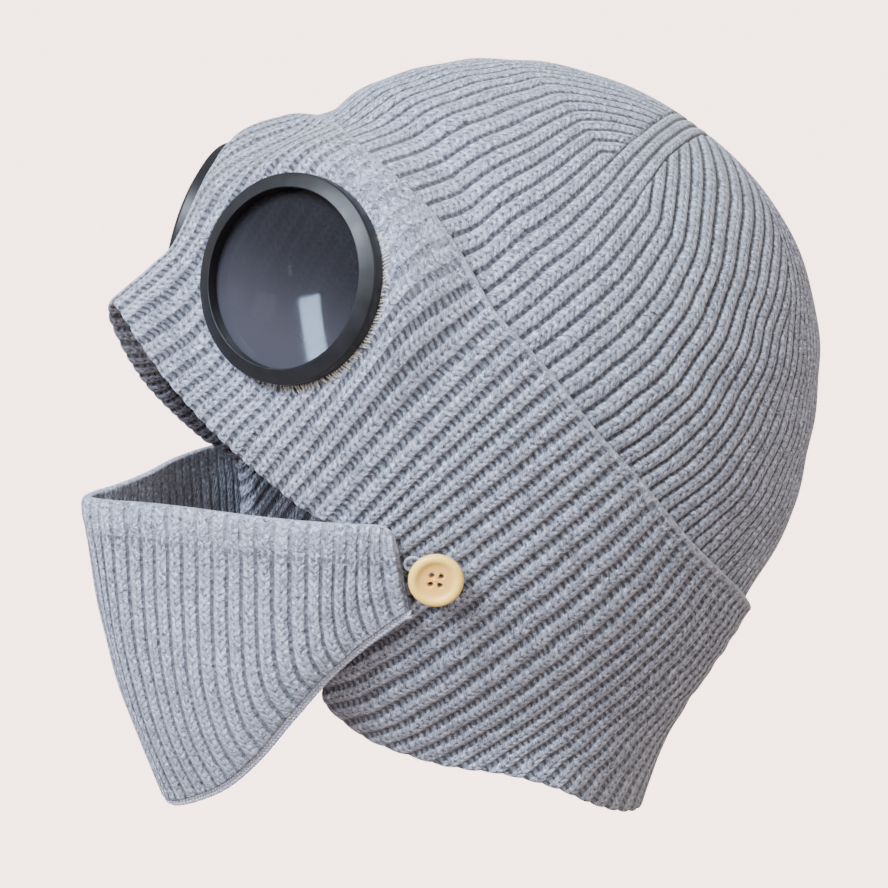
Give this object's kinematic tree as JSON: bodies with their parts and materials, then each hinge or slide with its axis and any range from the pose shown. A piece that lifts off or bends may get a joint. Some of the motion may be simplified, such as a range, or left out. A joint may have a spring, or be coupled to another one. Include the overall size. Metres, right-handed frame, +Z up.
{
  "type": "knitted aviator hat",
  "caption": "Ribbed knit hood with a deep turned-up band, peak, ear flaps, round goggles on the brow and a face panel buttoned to the flaps.",
  "frame": {"origin": "highest point of the hollow inside the crown, where the top of the wearer's head rests", "axes": "+Z up, -Y out through the face opening, +X to the wearer's left"},
  "size_m": [0.172, 0.2631, 0.2618],
  "materials": {
    "knit": "heather grey rib knit",
    "yarn": "pale grey wool yarn",
    "rim": "satin black",
    "lens": "smoke tint",
    "button": "pale, lightly polished"
  },
  "bodies": {
    "root": {"crown": "knit", "cuff": "knit", "goggle_rim_left": "rim", "goggle_rim_right": "rim", "goggle_lens_left": "lens", "goggle_lens_right": "lens", "button_left": "button", "button_right": "button", "button_shank_left": "yarn", "button_shank_right": "yarn", "button_loop_left": "yarn", "button_loop_right": "yarn", "mask_hem": "knit", "mask_panel": "knit", "mask_binding": "yarn"}
  },
  "joints": []
}
